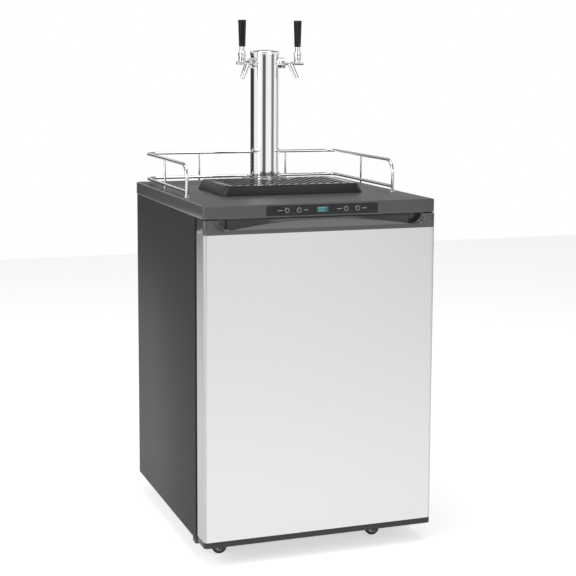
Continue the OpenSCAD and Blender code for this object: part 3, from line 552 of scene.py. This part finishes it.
def make_rails():
    """The two bent rails, the cups at the upper one's feet and the four posts."""
    low, high = span("rail_upper")
    radius = 4.25 * MM
    half = high.x - radius
    front = low.y + 7.25 * MM
    back = high.y - radius
    z = high.z - radius
    front_bend = 36 * MM
    corner = 28 * MM
    x_axis, y_axis, z_axis = Vector((1, 0, 0)), Vector((0, 1, 0)), Vector((0, 0, 1))

    def side_path(sign):
        out = x_axis * sign
        foot = [Vector((sign * half, front, TOP_Z))]
        front_arc = bend(Vector((sign * half, front + front_bend, z - front_bend)), -y_axis, z_axis,
                         front_bend)
        back_arc = bend(Vector((sign * (half - corner), back - corner, z)), out, y_axis, corner)
        return foot + front_arc + back_arc

    path = side_path(-1) + list(reversed(side_path(1)))
    upper = tube("guard_rail", path, radius, FITTING_CHROME, 24)
    profile = [(radius, 5.5 * MM), (radius + 0.8 * MM, 3.4 * MM), (radius + 2.4 * MM, 1.4 * MM),
               (radius + 3 * MM, 0.3 * MM), (radius + 3 * MM, 0.0), (0, 0)]
    cups = [lathe("cup", profile, FITTING_CHROME, steps=32,
                  matrix=Matrix.Translation((sign * half, front, TOP_Z)))
            for sign in (-1, 1)]
    fit(join("guard_rail", upper, *cups), "cabinet", "rail_chrome", "rail_upper")

    low, high = span("rail_lower")
    z = high.z - radius

    def lower_path(sign):
        start = [Vector((sign * half, front, z))]
        return start + bend(Vector((sign * (half - corner), back - corner, z)), x_axis * sign, y_axis, corner)

    path = lower_path(-1) + list(reversed(lower_path(1)))
    lower = tube("guard_rail_lower", path, radius, FITTING_CHROME, 24)
    fit(lower, "cabinet", "rail_chrome", "rail_lower")

    low, high = span("rail_posts")
    post_r = 2.75 * MM
    post_x = 128 * MM
    top = TOP_Z + 81 * MM
    spots = [(-post_x, back), (post_x, back), (-half, low.y + post_r), (half, low.y + post_r)]
    posts = [tube("post", [(x, y, TOP_Z), (x, y, top)], post_r, FITTING_CHROME, 16) for x, y in spots]
    fit(join("guard_rail_posts", *posts), "cabinet", "rail_chrome", "rail_posts")


# ---- tower and taps ------------------------------------------------------------------------

def make_tower():
    """The column, its cap with a low dome, and its foot: a round flange with a small collar."""
    middle = Matrix.Translation((0, TOWER_Y, 0))
    r = COLUMN_R

    def turned(name, profile, material, node):
        fit(lathe(name, profile, material, steps=128, matrix=middle), "cabinet", "tower_chrome", node)

    cap_low, cap_high = span("tower_cap")
    inner_r = r - 1.5 * MM
    column_top = cap_high.z - 8 * MM
    profile = [(inner_r, TOP_Z), (r, TOP_Z), (r, column_top), (inner_r, column_top)]
    turned("column", profile, CHROME, "tower_column")

    cap_r = (cap_high.x - cap_low.x) / 2
    dome = 155 * MM
    centre_z = cap_high.z - dome
    rim = centre_z + math.sqrt(dome ** 2 - cap_r ** 2)
    edge, corner, chamfer = 1.2 * MM, 0.35 * MM, 0.3 * MM
    profile = [(r + 0.02 * MM, cap_low.z), (cap_r - chamfer, cap_low.z), (cap_r, cap_low.z + chamfer),
               (cap_r, rim - edge), (cap_r - corner, rim - corner)]
    rounds = [s * (cap_r - edge) for s in (1, 0.85, 0.7, 0.55, 0.4, 0.25, 0.1, 0)]
    profile += [(x, centre_z + math.sqrt(dome ** 2 - x ** 2)) for x in rounds]
    turned("column_cap", profile, CHROME, "tower_cap")

    base_low, base_high = span("tower_base")
    base_r = (base_high.x - base_low.x) / 2
    step = base_high.z - 4 * MM
    edge = 3 * MM
    collar = r + 2 * MM
    foot = [(r, TOP_Z), (base_r, TOP_Z)] + arc(base_r - edge, step - edge, edge, 0, 90, 6)
    foot += [(r + 4 * MM, step), (r + 3.2 * MM, step + 0.4 * MM), (r + 3 * MM, step + 1 * MM)]
    foot += arc(collar, step + 3 * MM, 1 * MM, 0, 90, 4) + [(r, base_high.z)]
    # the foot uses the darkened chrome: a painted dark reflection
    turned("column_base", foot, BASE_CHROME_PAINTED_DARK, "tower_base")


def tap_matrix(side):
    """(matrix that turns X towards a tap round the tower's middle, how far out the tap's handle is)."""
    low, high = span("tap_handle_" + side)
    centre = (low + high) / 2
    out = Vector((centre.x, centre.y - TOWER_Y, 0))
    reach = out.length
    turn = Matrix.Rotation(math.atan2(out.y, out.x), 4, "Z")
    return Matrix.Translation((0, TOWER_Y, 0)) @ turn, reach


def make_handle(side):
    """A fluted handle that widens towards its top."""
    turn, reach = tap_matrix(side)
    low, high = span("tap_handle_" + side)
    length = high.z - low.z
    foot_r, head_r = 8.75 * MM, 10.9 * MM
    flutes, steps = 7, 112
    depth = 1.5 * MM
    # where along the handle, its radius there against the plain cone, and how deep the flutes are cut
    rows = [(0, 0.80, 0), (0.0, 0.90, 0), (0.010, 0.97, 0.3), (0.03, 1, 1), (0.2, 1, 1), (0.4, 1, 1),
            (0.6, 1, 1), (0.8, 1, 1), (0.90, 1, 1), (0.94, 1, 0.7), (0.965, 1, 0.25), (0.98, 0.995, 0.0),
            (0.992, 0.96, 0), (1.0, 0.88, 0)]
    bm = bmesh.new()
    rings = []
    for t, scale, cut in rows:
        radius = (foot_r + (head_r - foot_r) * t) * scale
        ring = []
        for k in range(steps):
            a = 2 * math.pi * k / steps
            dip = 0.5 + 0.5 * math.cos(flutes * a)
            r = radius - depth * cut * dip
            ring.append(bm.verts.new((reach + r * math.cos(a), r * math.sin(a), low.z + length * t)))
        rings.append(ring)
    for a, b in zip(rings, rings[1:]):
        for k in range(steps):
            j = (k + 1) % steps
            bm.faces.new((a[k], a[j], b[j], b[k]))
    bm.faces.new(rings[0])
    bm.faces.new(rings[-1])
    handle = place(add_object("handle_" + side, bm, GLOSS_BLACK, smooth=50), turn)
    fit(handle, "lever_" + side, "handle_plastic", "tap_handle_" + side)


# ---- drip tray -----------------------------------------------------------------------------

def make_tray():
    """A shallow tray with leaning walls, a ledge for its grille and a round notch for the tower's foot."""
    low, high = span("drip_tray")
    top_half = 179 * MM
    lean = 3 * MM
    chamfer = 9 * MM

    def ring(half, y0, y1, cut):
        """A rectangle with its front corners cut off, and its back corners by half as much."""
        return [(-half + cut, y0), (half - cut, y0), (half, y0 + cut), (half, y1 - cut * 0.5),
                (half - cut * 0.5, y1), (-half + cut * 0.5, y1), (-half, y1 - cut * 0.5), (-half, y0 + cut)]

    def inside(step, cut):
        """The top's outline, moved inwards by a step."""
        return ring(top_half - step, low.y + lean + step, high.y - lean - step, cut)

    rim = 3.0 * MM
    sink = 2.5 * MM
    floor_z = low.z + 2.6 * MM
    ledge = 4 * MM
    outer = ring(high.x, low.y, high.y, chamfer)
    levels = [(outer, low.z), (outer, low.z + 1.2 * MM), (inside(0, chamfer), high.z),
              (inside(rim, chamfer - MM), high.z), (inside(rim, chamfer - MM), high.z - sink),
              (inside(rim + ledge, chamfer - 2 * MM), high.z - sink),
              (inside(rim + ledge + MM, chamfer - 2 * MM), floor_z)]
    bm = bmesh.new()
    rings = [[bm.verts.new((x, y, z)) for x, y in points] for points, z in levels]
    corners = len(outer)
    for a, b in zip(rings, rings[1:]):
        for i in range(corners):
            j = (i + 1) % corners
            bm.faces.new((a[i], a[j], b[j], b[i]))
    bm.faces.new(rings[0])
    bm.faces.new(rings[-1])
    tray = add_object("tray", bm, TRAY)
    notch_r = 64 * MM
    middle = Matrix.Translation((0, TOWER_Y, 0))
    under, over = low.z - MM, high.z + MM
    notch_profile = [(0, under), (notch_r, under), (notch_r, over), (0, over)]
    carve(tray, lathe("notch", notch_profile, TRAY, steps=96, matrix=middle))
    # the wall round the notch, of which only the part inside the tray is kept
    wall_r = notch_r + 2.4 * MM
    wall_profile = [(notch_r, low.z), (wall_r, low.z), (wall_r, high.z), (notch_r, high.z), (notch_r, low.z)]
    wall = lathe("wall", wall_profile, TRAY, steps=96, matrix=middle)
    carve(wall, cuboid("behind", (-0.2, high.y - lean, under), (0.2, 0.3, over)))
    join("tray", tray, wall)
    bevel(tray, 1.2, 3, 40)
    repaint(tray, GRILLE, lambda face: face.normal.z > 0.8 and face.center.z > high.z - 0.5 * MM)
    fit(tray, "tray", "tray_plastic", "drip_tray")


# ---- casters -------------------------------------------------------------------------------

CASTERS = ("front_left", "front_right", "rear_left", "rear_right")


def make_wheels():
    """Wheels with a pale hub, a dark sunk web and a black tyre. The profile's halves mirror each other."""
    tyre, web, hub = 0, 1, 2
    half_bands = [hub, hub, web, web, web, tyre, tyre, tyre]
    bands = half_bands + [tyre] + half_bands[::-1] + [hub]
    for name in CASTERS:
        low, high = span("caster_wheel_" + name)
        centre = (low + high) / 2
        r = (high.z - low.z) / 2
        half = (high.y - low.y) / 2
        tread = half - 0.5 * MM
        sunk = half - 1.6 * MM
        profile = [(3.05 * MM, -half), (8.6 * MM, -half), (9.2 * MM, -half + 0.4 * MM), (10 * MM, -sunk),
                   (14 * MM, -sunk), (14.6 * MM, -tread), (17.2 * MM, -tread),
                   (r - 0.5 * MM, -tread + 0.5 * MM), (r, -tread + 1.6 * MM)]
        profile += [(a, -b) for a, b in reversed(profile)]
        profile.append(profile[0])
        turn = Matrix.Translation(centre) @ Matrix.Rotation(math.radians(90), 4, "X")
        wheel = lathe("wheel_" + name, profile, TYRE, HUB_DARK, HUB, matrix=turn, bands=bands)
        fit(wheel, "wheel_" + name, "caster_tyre", "caster_wheel_" + name)


# ---- the rest of the CAD nodes -------------------------------------------------------------

# node: (material, how wide its rounded edges are in millimetres)
DRESS = {
    "cabinet_shell": (CABINET_PAINT, 0.5), "cabinet_back": (BACK_PAINT, 0), "base_pan": (PAN_PAINT, 0.8),
    "cabinet_liner": (LINER, 0), "cabinet_foam": (FOAM, 0), "control_panel": (PANEL, 0.3),
    "display_window": (DISPLAY, 0.2), "control_board": (BOARD, 0), "evaporator_plate": (ALUMINIUM, 0),
    "keg_floor_plate": (PLATE_STEEL, 0.4), "compressor": (DARK_PAINT, 0), "condenser_coil": (DARK_PAINT, 0),
    "evaporation_pan": (BLACK_PLASTIC, 0.8), "machine_cover": (BACK_PAINT, 0),
    "power_inlet": (BLACK_PLASTIC, 0.8), "gas_grommet": (RUBBER, 0.6), "fan_housing": (LINER, 0.8),
    "fan_rotor": (BLACK_PLASTIC, 0),
    "upper_hinge": (DULL_METAL, 0.4), "lower_hinge": (PAN_PAINT, 0.5), "tower_screws": (DULL_METAL, 0.3),
    "tower_insulation": (DARK_FOAM, 0), "faucet_shanks": (CHROME, 0.3), "shank_locknuts": (BRASS, 0.5),
    "coupling_nuts": (FITTING_CHROME, 0.8), "faucet_left": (FITTING_CHROME, 0.5),
    "faucet_right": (FITTING_CHROME, 0.5), "valve_shaft_left": (BRASS, 0), "valve_shaft_right": (BRASS, 0),
    "tap_lever_left": (FITTING_CHROME, 0.6), "tap_lever_right": (FITTING_CHROME, 0.6),
    "drip_grille": (GRILLE, 0.3), "door_liner": (LINER, 0),
    **{"caster_fork_" + corner: (DARK_PAINT, 0.4) for corner in CASTERS},
}

make_worktop()
make_buttons()
make_marks()
make_door_skin()
make_top_trim()
make_bottom_trim()
make_gasket()
make_rails()
make_tower()
for tap in ("left", "right"):
    make_handle(tap)
make_tray()
make_wheels()
for cad_node, (finish, rounding_mm) in DRESS.items():
    dress(cad_node, finish, rounding_mm)
# the grille's walls and hole sides are painted near-black as shade
repaint(nodes["drip_grille"], GRILLE_WALL_SHADE, lambda face: face.normal.z <= 0.5)


# ---- studio --------------------------------------------------------------------------------

def make_floor():
    """A pale floor that glows a little, so that it is as white as the wall behind it."""
    bm = bmesh.new()
    bmesh.ops.create_grid(bm, x_segments=1, y_segments=1, size=5)
    finish = plain("Studio floor", (0.86, 0.86, 0.86), 0.9)
    glow = finish.node_tree.nodes["Principled BSDF"].inputs
    glow["Emission Color"].default_value = (1, 1, 1, 1)
    glow["Emission Strength"].default_value = 0.56
    floor = add_object("studio_floor", bm, finish)


def make_light(name, position, target, size, power):
    """A rectangular lamp, with its size in metres and its power in watts."""
    data = bpy.data.lights.new(name, "AREA")
    data.shape = "RECTANGLE"
    data.size, data.size_y = size
    data.energy = power
    lamp = bpy.data.objects.new(name, data)
    bpy.context.scene.collection.objects.link(lamp)
    aim = (Vector(target) - Vector(position)).to_track_quat("-Z", "Y")
    lamp.matrix_world = Matrix.Translation(position) @ aim.to_matrix().to_4x4()


# Flats round the studio, seen in the chrome: middle and half width in degrees anticlockwise from +X,
# and brightness
FLATS = [(113, 42, 0.05), (245, 13, 0.12), (315, 12, 0.22), (8, 13, 0.45)]


def make_world():
    """A pale studio that dims upwards, with darker flats round it. The camera sees a plain pale wall."""
    world = bpy.data.worlds.new("Studio")
    world.use_nodes = True
    bpy.context.scene.world = world
    tree = world.node_tree
    tree.nodes.clear()
    add = tree.nodes.new
    link = tree.links.new

    def blend(factor, first, second):
        """First where the factor is 0, second where it is 1. Both are colours or grey values."""
        node = add("ShaderNodeMix")
        node.data_type = "RGBA"
        for name, value in (("Factor", factor), ("A", first), ("B", second)):
            if isinstance(value, float):
                node.inputs[name].default_value = (value, value, value, 1)
            else:
                link(value, node.inputs[name])
        return node.outputs["Result"]

    def ramp(source, start, end, low, high):
        """Low up to the start, high from the end on, and a straight run between them."""
        node = add("ShaderNodeMapRange")
        for name, value in zip(("From Min", "From Max", "To Min", "To Max"), (start, end, low, high)):
            node.inputs[name].default_value = value
        link(source, node.inputs["Value"])
        return node.outputs["Result"]

    def compute(operation, first, second=None):
        node = add("ShaderNodeMath")
        node.operation = operation
        link(first, node.inputs[0])
        if isinstance(second, float):
            node.inputs[1].default_value = second
        elif second:
            link(second, node.inputs[1])
        return node.outputs[0]

    coords = add("ShaderNodeTexCoord")
    split = add("ShaderNodeSeparateXYZ")
    link(coords.outputs["Generated"], split.inputs["Vector"])
    turn = compute("ARCTAN2", split.outputs["Y"], split.outputs["X"])
    wall, ceiling, seen_wall = 0.95, 0.30, 1.0
    # the height of a direction: 0 is level, 1 is straight up
    height = split.outputs["Z"]
    above = ramp(height, 0.12, 0.45, 0, 1)
    low = ramp(height, 0.09, 0.16, 1, 0)
    soft = 4  # degrees either side of a flat's edge over which it fades
    color = wall
    for middle, half, value in FLATS:
        middle = math.radians(middle if middle <= 180 else middle - 360)
        away = compute("ABSOLUTE", compute("SUBTRACT", turn, middle))
        edge = ramp(away, math.radians(half - soft), math.radians(half + soft), 1, 0)
        color = blend(compute("MULTIPLY", edge, low), color, value)
    color = blend(above, color, ceiling)
    rays = add("ShaderNodeLightPath")
    color = blend(rays.outputs["Is Camera Ray"], color, seen_wall)
    back = add("ShaderNodeBackground")
    link(color, back.inputs["Color"])
    out = add("ShaderNodeOutputWorld")
    link(back.outputs["Background"], out.inputs["Surface"])


def make_camera():
    """A camera at the photograph's viewing angle: a little left of the door and above the worktop."""
    data = bpy.data.cameras.new("Camera")
    data.lens = 85.45
    data.sensor_width = 36
    data.shift_x = -0.0295
    data.shift_y = -0.1007
    yaw, pitch, roll = (math.radians(a) for a in (20.23, 7.07, 0.35))
    ahead = Vector((math.sin(yaw) * math.cos(pitch), math.cos(yaw) * math.cos(pitch), -math.sin(pitch)))
    right = Vector((math.cos(yaw), -math.sin(yaw), 0))
    up = right.cross(ahead)
    right_r = right * math.cos(roll) + up * math.sin(roll)
    up_r = up * math.cos(roll) - right * math.sin(roll)
    camera = bpy.data.objects.new("Camera", data)
    bpy.context.scene.collection.objects.link(camera)
    turn = Matrix((right_r, up_r, -ahead)).transposed().to_4x4()
    camera.matrix_world = Matrix.Translation((-1.1731, -3.3981, 1.2193)) @ turn
    bpy.context.scene.camera = camera


bpy.context.scene.view_settings.view_transform = "Standard"
make_floor()
make_world()
make_light("Key", (-3.6, -1.5, 3.0), (0, 0, 0.6), (2.2, 2.2), 60)
make_light("Fill", (1.3, -4.2, 2.6), (0, 0, 0.6), (2.0, 2.0), 26)
make_light("Top", (0, -0.2, 3.3), (0, 0, 0), (1.6, 1.6), 32)
make_light("Left strip", (-2.8, -1.2, 1.25), (0, 0, 1.1), (0.3, 1.3), 10)
make_camera()
